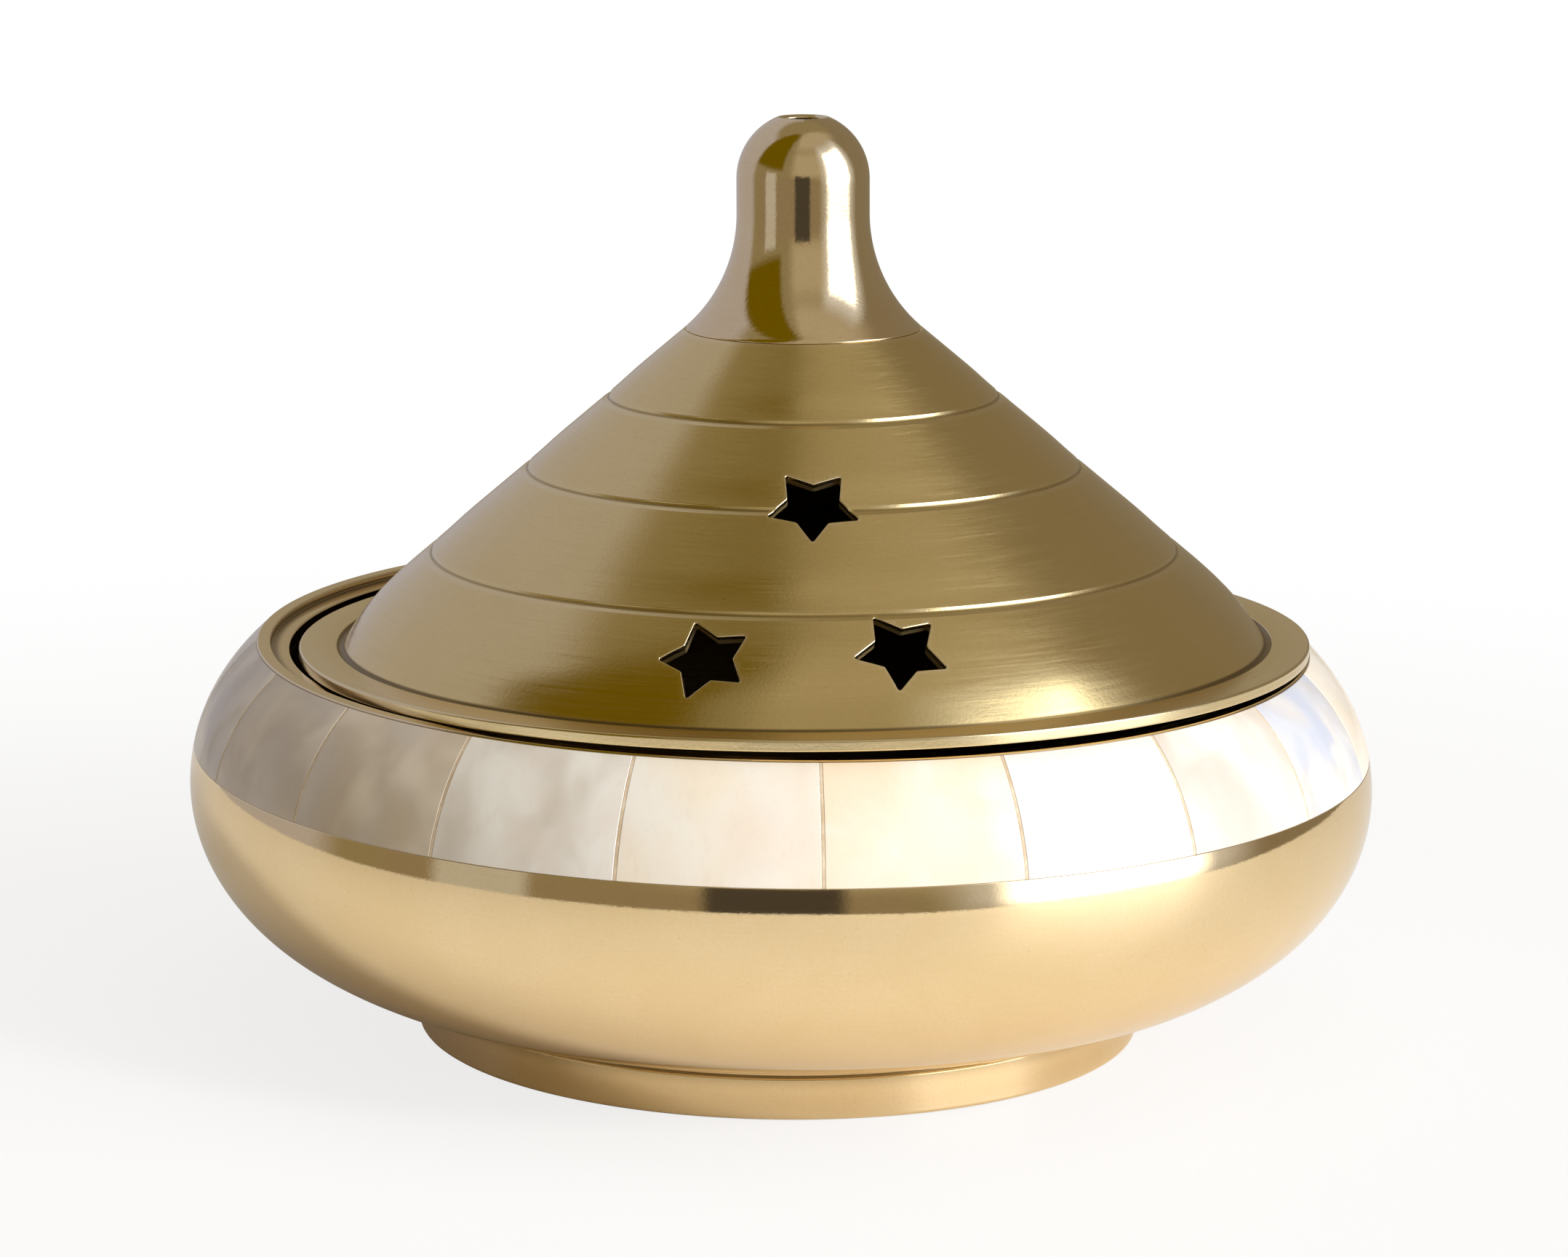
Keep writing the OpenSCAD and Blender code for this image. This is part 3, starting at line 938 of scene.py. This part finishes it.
def build_lid():
    outside, lining = cone_heights(), np.linspace(LINING_TOP, 0.25, 64)
    parts = [flange_rows(), cone_rows(outside), crown_rows(outside[-1]), lining_rows(lining)]
    first_lining = sum(len(rows) for rows in parts[:3])
    walls = ((outside, len(parts[0]), 0.5), (lining, first_lining, -1.2))
    rng = np.random.default_rng(5)
    windows = []
    for group in range(GROUPS):
        for spread, z0, lean in STARS:
            windows.append(star_window(group * 360 / GROUPS + spread, z0, lean, rng, walls))

    def skip(i, k):
        for _, _, _, _, c0, c1, spans in windows:
            if (k - c0) % COLS < c1 - c0 and any(a <= i < b for a, b in spans):
                return True
        return False

    skin = Skin()
    starts = skin.lathe(np.concatenate(parts), skip=skip)
    for window in windows:
        cut_star(skin, window, starts, walls)
    skin.piece(
        "lid_shell_skin", "lid", ["lid_shell"], BRUSHED, LID_POSE, inside_material=SOOT_SHADE_BRASS
    )


def build_finial():
    rim = 0.3
    dome_end = degrees(acos((VENT_R + rim) / KNOB_R))
    skin = Skin()
    # painted highlights on the finial's foot edge, its top rim and round the vent
    rows = outline(
        [
            (VENT_R, CROWN_Z - CAP_T - 0.5, 0.1),
            (SPIGOT_R, CROWN_Z - CAP_T - 0.5, 0.1),
            (SPIGOT_R, CROWN_Z, None),
            (CROWN_R - 0.1, CROWN_Z, 0.08, 0.6),
        ]
        + [
            (KNOB_R + FLARE_R * (1 - cos(radians(a))), FLARE_TOP - FLARE_R * sin(radians(a)), None)
            for a in np.arange(degrees(SLOPE) - 1.2, 0.1, -1.2)
        ]
        + [(KNOB_R, FLARE_TOP + KNOB_H * k / 6, None) for k in range(0, 6)]
        + [
            (KNOB_R * cos(radians(a)), DOME_Z + KNOB_R * sin(radians(a)), None)
            for a in np.arange(0, dome_end - 1, 2.5)
        ]
        + [
            (KNOB_R * cos(radians(dome_end)), DOME_Z + KNOB_R * sin(radians(dome_end)), 0.12, 0.8),
            (VENT_R, DOME_Z + KNOB_R * sin(radians(dome_end)) - rim * 0.8, 0.12, 0.3),
        ]
    )
    skin.lathe(rows)
    skin.piece("finial_skin", "lid", ["finial"], MIRROR, LID_POSE)


# ---------------------------------------------------------------- burner
def build_burner():
    build_plate()
    build_cup()


def plate_rows():
    """The plate's outline, with extra rows across its two flat faces."""
    flare, bend = 1.2, 1.0
    under = PLATE_TOP - PLATE_T
    rows = outline(
        [
            (RIVET_R, under, 0.05),
            (PLATE_R - PLATE_T, under, 0.7),
            (PLATE_R - PLATE_T, PLATE_Z + bend, 0.6),
            (PLATE_R + flare - PLATE_T, PLATE_Z, 0.1),
            (PLATE_R + flare, PLATE_Z, 0.1),
            (PLATE_R, PLATE_Z + bend, 1.2),
            (PLATE_R, PLATE_TOP, 1.0),
            (RIVET_R, PLATE_TOP, 0.05),
        ]
    )
    fine = []
    for a, b in zip(rows, np.roll(rows, -1, 0)):
        fine.append(a)
        if abs(a[1] - b[1]) < 1e-6 and abs(a[0] - b[0]) > 10:
            fine += [(r, a[1], a[2], a[3], 0.0) for r in np.linspace(a[0], b[0], 26)[1:-1]]
    return np.array(fine)


def air_hole(skin, turn, ring_r):
    """The wall of one round hole with its soft edges. Returns its top and
    bottom loops as (first index, count, points)."""
    a = np.arange(40) * 2 * pi / 40
    under = PLATE_TOP - PLATE_T
    loops = []
    for z, n_out, n_side, r in (
        (PLATE_TOP, 1, 0, AIR_R + 0.12),
        (PLATE_TOP - 0.04, 0.7, 0.7, AIR_R + 0.04),
        (PLATE_TOP - 0.14, 0, 1, AIR_R),
        (under + 0.05, 0, 1, AIR_R),
        (under, -1, 0, AIR_R + 0.05),
    ):
        q = np.stack([r * np.cos(a), r * np.sin(a) - ring_r, z + 0 * a], 1)
        n = np.stack([-np.cos(a) * n_side, -np.sin(a) * n_side, n_out + 0 * a], 1)
        q, n = spin(q, turn), spin(n, turn)
        rr = np.hypot(q[:, 0], q[:, 1])
        turned = np.stack([q[:, 0] / rr, q[:, 1] / rr, rr], 1)
        # each hole's top loops get a painted highlight, its underside loop painted shade
        loops.append((skin.add(q, n, turned, 0.3 * n_out), len(q), q))
    skin.strip([(first, count) for first, count, _ in loops])
    return loops[0], loops[-1]


def build_plate():
    rows = plate_rows()
    cols = COLS // 2
    ring_r, clear = (CUP_R + PLATE_R) / 2, AIR_R + 0.9
    spans = []
    for level in (PLATE_TOP, PLATE_TOP - PLATE_T):
        hit = np.flatnonzero((abs(rows[:, 1] - level) < 1e-6) & (abs(rows[:, 0] - ring_r) < clear))
        spans.append((hit.min(), hit.max()))
    half = degrees(clear / (ring_r - AIR_R))
    windows = []
    for k in range(AIR_HOLES):
        turn = 90 + k * 360 / AIR_HOLES
        first = int(np.floor((turn - half) * cols / 360))
        windows.append((turn, first, int(np.ceil((turn + half) * cols / 360))))

    def skip(i, k):
        return any((k - c0) % cols < c1 - c0 for _, c0, c1 in windows) and any(a <= i < b for a, b in spans)

    skin = Skin()
    starts = skin.lathe(rows, skip=skip, cols=cols)
    for turn, c0, c1 in windows:
        for (a, b), (index, _, q) in zip(spans, air_hole(skin, turn, ring_r)):
            flat_patch(skin, rows[a : b + 1, 0], starts[a : b + 1], range(c0, c1 + 1), cols, q, index)
    skin.piece("burner_plate_skin", "burner", ["burner_plate"], INNER)


def build_cup():
    base_r, cup_wall, roll = CUP_R - 2, 0.9, 0.25
    skin = Skin()
    # painted highlight on the rolled rim, painted shade in the inside corner of the cup
    rows = outline(
        [
            (0.0, PLATE_TOP - PLATE_T - 0.6, None),
            (1.6, PLATE_TOP - PLATE_T - 0.55, None),
            (2.6, PLATE_TOP - PLATE_T, 0.15),
            (RIVET_R, PLATE_TOP - PLATE_T, None),
            (RIVET_R, PLATE_TOP, None),
            (base_r, PLATE_TOP, 0.25),
            (CUP_R, PLATE_TOP + CUP_H, roll, 0.6),
            (CUP_R - cup_wall, PLATE_TOP + CUP_H, 0.3, 0.6),
            (base_r - cup_wall, PLATE_TOP + cup_wall, 0.8, -0.6),
            (0.0, PLATE_TOP + cup_wall, None),
        ],
        closed=False,
    )
    skin.lathe(rows, closed=False, cols=COLS // 2)
    skin.piece("cone_cup_skin", "burner", ["cone_cup"], INNER)


def flat_patch(skin, radii, starts, cols, around, hole, hole_index):
    """Fills the window of a flat ring round a round hole."""
    co = np.concatenate(skin.co)
    index, flat, edge = [], [], []
    for j in range(len(radii)):
        for i, c in enumerate(cols):
            index.append(starts[j] + c % around)
            flat.append(co[index[-1], :2])
            edge.append(j in (0, len(radii) - 1) or i in (0, len(cols) - 1))
    flat, index, edge = np.array(flat), np.array(index), np.array(edge)
    fill_window(skin, flat, index, edge, len(cols), hole[:, :2], hole_index, AIR_CLEAR, 1)


build_bowl()
build_band()
build_lid()
build_finial()
build_burner()


# ---------------------------------------------------------------- camera
# The camera looks along +Y and a little down, CAMERA_AWAY from its aim.
CAMERA_DOWN, CAMERA_ROLL = radians(12.17), radians(0.81)
CAMERA_AWAY, CAMERA_LENS = 503.6, 133.8
CAMERA_AIM = Vector((0.06, 0, 34.74))


def build_camera():
    ahead = Vector((0, cos(CAMERA_DOWN), -sin(CAMERA_DOWN)))
    right, up = Vector((1, 0, 0)), Vector((0, sin(CAMERA_DOWN), cos(CAMERA_DOWN)))
    side = right * cos(CAMERA_ROLL) + up * sin(CAMERA_ROLL)
    top = up * cos(CAMERA_ROLL) - right * sin(CAMERA_ROLL)
    place = (CAMERA_AIM - ahead * CAMERA_AWAY) * MM
    rows = [(side[k], top[k], -ahead[k], place[k]) for k in range(3)]
    cam = bpy.data.objects.new("camera", bpy.data.cameras.new("camera"))
    cam.matrix_world = Matrix(rows + [(0, 0, 0, 1)])
    cam.data.sensor_fit = "HORIZONTAL"
    cam.data.sensor_width = 36.0
    cam.data.lens = CAMERA_LENS
    cam.data.clip_start, cam.data.clip_end = 0.01, 20
    bpy.context.scene.collection.objects.link(cam)
    bpy.context.scene.camera = cam


# ---------------------------------------------------------------- studio
# Plain panels far round the object, which only its gloss and the soft light
# see: to the camera the world is white. Each panel is turn from and to
# (degrees from the front towards +X), height from and to, soft edge, colour.
SIDE_WALL_PALE = (-230, -95, -30, 55, 6, (0.45, 0.44, 0.50))
SIDE_WALL_WARM = (95, 230, -30, 55, 8, (0.25, 0.21, 0.15))
CEILING_BOUNCE = (-20, 120, 55, 90, 12, (0.45, 0.40, 0.32))
FRONT_CARD = (-20, 45, 8, 50, 10, (0.45, 0.40, 0.30))
DARK_FLAG = (-94, -38, 18, 85, 4, (0.15, 0.105, 0.0))
SOFTBOX_GLOW = (36, 96, -8, 55, 10, (0.75, 0.78, 0.90))
SOFTBOX = (44, 86, -5, 44, 5, (4.0, 4.1, 4.5))
SKIRTING = (-80, 25, -16, 6, 5, (0.28, 0.23, 0.16))
FILL_CARD = (-68, -48, -16, 12, 2, (0.50, 0.50, 0.50))
CAMERA_STAND = (-14, 12, -16, 10, 2, (0.07, 0.06, 0.05))
PANELS = (
    SIDE_WALL_PALE,
    SIDE_WALL_WARM,
    CEILING_BOUNCE,
    FRONT_CARD,
    DARK_FLAG,
    SKIRTING,
    FILL_CARD,
    CAMERA_STAND,
    SOFTBOX_GLOW,
    SOFTBOX,
)
ROOM_DIM = (0.28, 0.24, 0.15)
BACKDROP = (0.34, 0.29, 0.20)
PAPER_FAR = (0.85, 0.82, 0.78)


def build_world():
    world = bpy.data.worlds.new("studio")
    bpy.context.scene.world = world
    world.use_nodes = True
    g = Graph(world.node_tree)
    for n in list(world.node_tree.nodes):
        world.node_tree.nodes.remove(n)
    ray = g.vec("NORMALIZE", g.node("ShaderNodeTexCoord").outputs["Generated"])
    x, y, z = g.split(ray)
    to_degrees = 180 / pi
    turn = g.math("MULTIPLY", g.math("ARCTAN2", x, g.math("MULTIPLY", y, -1.0)), to_degrees)
    height = g.math("MULTIPLY", g.math("ARCSINE", z), to_degrees)

    def between(value, low, high, edge):
        rise = g.ramp(value, low - edge, low + edge)
        return g.math("MULTIPLY", rise, g.ramp(value, high - edge, high + edge, 1.0, 0.0))

    sky = ROOM_DIM
    for turn0, turn1, height0, height1, edge, colour in PANELS:
        width = between(turn, turn0, turn1, edge)
        sky = g.mix(g.math("MULTIPLY", width, between(height, height0, height1, edge)), sky, colour)
    # the backdrop that flat tops mirror, dim enough to leave them brass
    behind = g.math("MAXIMUM", g.ramp(turn, 168, 176), g.ramp(turn, -168, -176))
    behind = g.math("MULTIPLY", behind, g.ramp(height, 30, 45, 1.0, 0.0))
    sky = g.mix(behind, sky, BACKDROP)
    sky = g.mix(g.ramp(height, -17, -15.5, 1.0, 0.0), sky, PAPER_FAR)
    seen = g.node("ShaderNodeLightPath").outputs["Is Camera Ray"]
    light = g.node("ShaderNodeBackground", {"Color": sky, "Strength": 1.0})
    plain = g.node("ShaderNodeBackground", {"Color": (1, 1, 1, 1), "Strength": 1.0})
    both = g.node("ShaderNodeMixShader", {0: seen})
    g.put(both.inputs[1], light.outputs[0])
    g.put(both.inputs[2], plain.outputs[0])
    out = g.node("ShaderNodeOutputWorld")
    g.put(out.inputs["Surface"], both.outputs[0])


def paper_material():
    """Pale paper that fades into the white behind it, away from the object."""
    m = bpy.data.materials.new("paper")
    m.use_nodes = True
    g = Graph(m.node_tree)
    for node in list(m.node_tree.nodes):
        m.node_tree.nodes.remove(node)
    place = g.node("ShaderNodeTexCoord").outputs["Object"]
    dist = g.node("ShaderNodeVectorMath", {0: place}, operation="LENGTH").outputs["Value"]
    lit = g.node("ShaderNodeBsdfPrincipled", {"Base Color": (0.9, 0.89, 0.87, 1), "Roughness": 0.42})
    glow = g.node("ShaderNodeEmission", {"Color": (1, 1, 1, 1), "Strength": 1.0})
    seen = g.node("ShaderNodeLightPath").outputs["Is Camera Ray"]
    share = g.math("MULTIPLY", seen, g.ramp(dist, 0.08, 0.22, 0.8, 1.0))
    both = g.node("ShaderNodeMixShader", {0: share})
    g.put(both.inputs[1], lit.outputs[0])
    g.put(both.inputs[2], glow.outputs[0])
    g.put(g.node("ShaderNodeOutputMaterial").inputs["Surface"], both.outputs[0])
    return m


def build_floor():
    radius, n_rings, n = 260 * MM, 12, 96
    co, faces = [(0, 0, 0)], []
    for r in [radius * k / n_rings for k in range(1, n_rings + 1)]:
        for k in range(n):
            a = 2 * pi * k / n
            wob = 1 + (0.03 * sin(3 * a + 0.7) + 0.02 * sin(7 * a)) * (r / radius) ** 2
            co.append((r * wob * cos(a), r * wob * sin(a), 0))
    for k in range(n):
        faces.append((0, 1 + k, 1 + (k + 1) % n))
    for j in range(n_rings - 1):
        for k in range(n):
            a, b = 1 + j * n, 1 + (j + 1) * n
            m = (k + 1) % n
            faces.append((a + k, b + k, b + m, a + m))
    mesh = bpy.data.meshes.new("floor")
    mesh.from_pydata(co, [], faces)
    mesh.materials.append(paper_material())
    floor = bpy.data.objects.new("floor", mesh)
    floor.location.z = -0.05 * MM  # just clear of the foot's flat underside
    bpy.context.scene.collection.objects.link(floor)


def soft_light(name, place, aim, size, power, colour):
    lamp = bpy.data.lights.new(name, "AREA")
    lamp.shape = "DISK"
    lamp.size = size
    lamp.energy = power
    lamp.color = colour
    obj = bpy.data.objects.new(name, lamp)
    obj.location = place
    look = Vector(aim) - Vector(place)
    obj.rotation_euler = look.to_track_quat("-Z", "Y").to_euler()
    obj.visible_camera = False
    obj.visible_glossy = False
    bpy.context.scene.collection.objects.link(obj)


build_camera()
build_world()
build_floor()
soft_light("overhead", (0.1, -0.1, 0.75), (0, 0, 0), size=0.7, power=1.2, colour=(1, 0.98, 0.95))
soft_light("key", (0.58, -0.54, 0.39), (0, 0, 0.02), size=0.18, power=4.6, colour=(1, 0.99, 0.97))
bpy.context.scene.view_settings.view_transform = "Standard"
